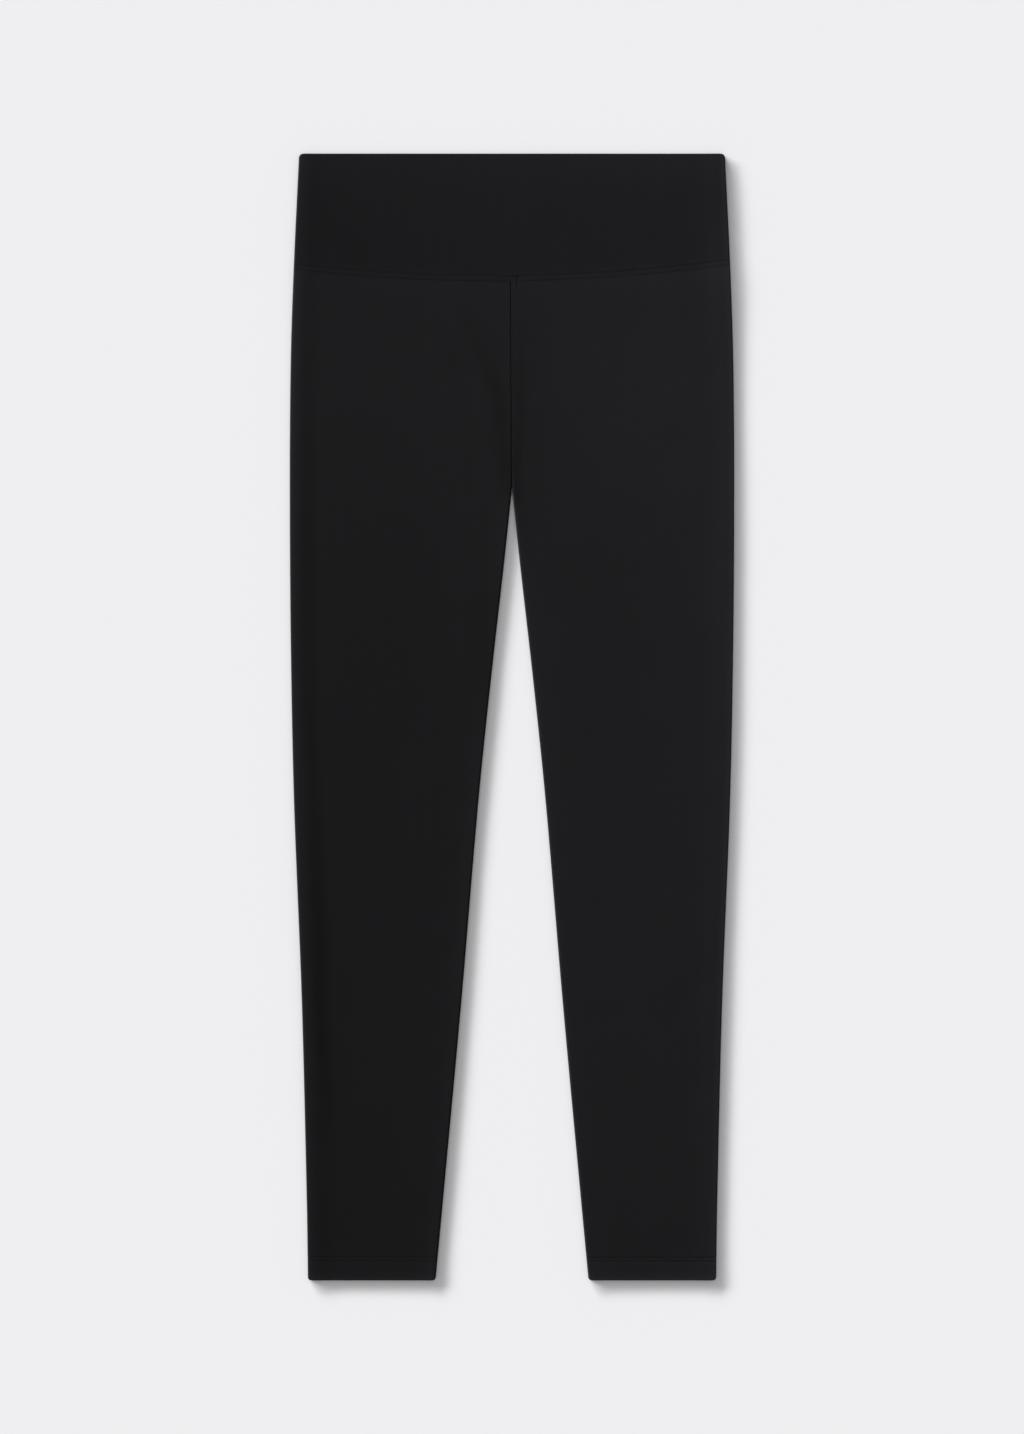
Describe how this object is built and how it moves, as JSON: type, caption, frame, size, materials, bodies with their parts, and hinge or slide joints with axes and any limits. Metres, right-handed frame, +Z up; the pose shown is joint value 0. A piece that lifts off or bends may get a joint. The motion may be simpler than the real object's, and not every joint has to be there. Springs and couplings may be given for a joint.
{
  "type": "leggings",
  "caption": "Plain high-waisted leggings in black stretch knit, full length, laid flat with the front up on the surface that they rest on.",
  "frame": {"origin": "on the surface that the leggings rest on, below the middle of their outline", "axes": "+X to the wearer's left, +Y from the hems to the waist, +Z up through the front"},
  "size_m": [0.3744, 0.95, 0.0054],
  "materials": {
    "leg_knit": "matt brushed jersey",
    "waistband_knit": "matt brushed jersey, doubled",
    "thread": "spun polyester thread"
  },
  "bodies": {
    "root": {"leg_right": "leg_knit", "leg_left": "leg_knit", "waistband_front": "waistband_knit", "waistband_back": "waistband_knit"}
  },
  "joints": []
}
